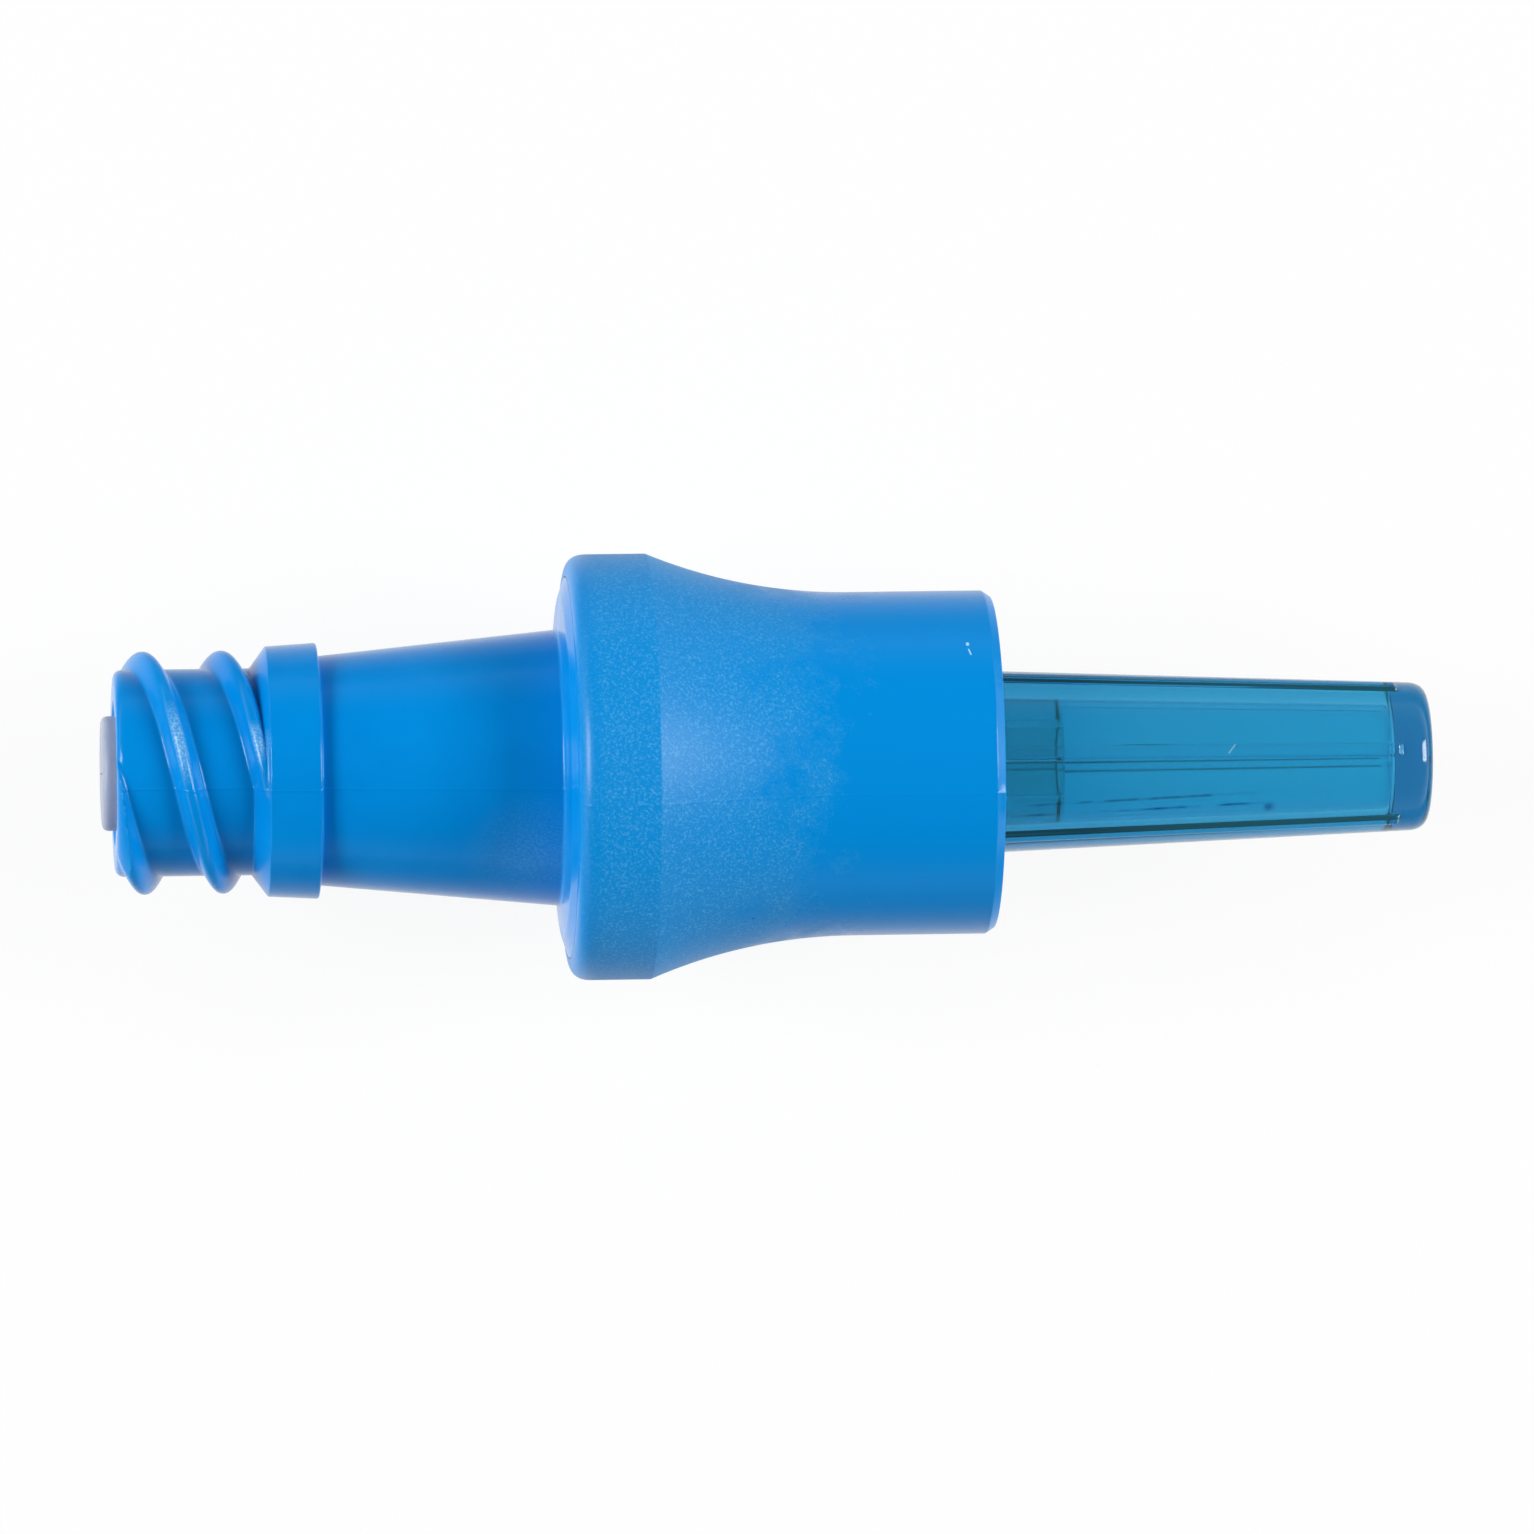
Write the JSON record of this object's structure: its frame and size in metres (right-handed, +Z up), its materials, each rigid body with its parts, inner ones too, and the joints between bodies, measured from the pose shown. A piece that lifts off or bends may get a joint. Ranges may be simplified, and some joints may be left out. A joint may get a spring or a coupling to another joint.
{
  "type": "needle free connector",
  "caption": "Blue luer-lock connector with a press-in silicone valve at its inlet, a turning bell-shaped lock skirt and a ribbed push-on cap over its outlet",
  "frame": {"origin": "centre of the inlet's end face, on the connector's axis", "axes": "+X runs along the axis from the inlet to the outlet and its cap, +Z is up with the connector lying level, +Y completes the right-handed frame"},
  "size_m": [0.0425, 0.0136, 0.0136],
  "materials": {
    "housing_blue": "glossy opaque blue moulded polycarbonate blend",
    "silicone": "translucent grey-lilac silicone",
    "clear_plastic": "clear moulded polycarbonate",
    "skirt_blue": "opaque blue, fine matte grip band fading to smooth collar",
    "cap_blue": "translucent blue polypropylene"
  },
  "bodies": {
    "housing": {"inlet_housing": "housing_blue", "outlet_stem": "clear_plastic"},
    "valve": {"silicone_valve": "silicone"},
    "skirt": {"lock_skirt": "skirt_blue"},
    "cap": {"luer_cap": "cap_blue"}
  },
  "joints": [
    {"name": "valve_press", "type": "slide", "parent": "housing", "child": "valve", "axis": [1, 0, 0], "range_m": [0, 0.0055], "stiffness_N_per_m": 1500, "springref_m": -0.001, "deforming": ["silicone_valve"]},
    {"name": "skirt_turn", "type": "hinge", "parent": "housing", "child": "skirt", "pos_m": [0.02, 0, 0], "axis": [1, 0, 0], "continuous": true},
    {"name": "cap_pull", "type": "slide", "parent": "housing", "child": "cap", "axis": [1, 0, 0], "range_m": [0, 0.012]}
  ]
}
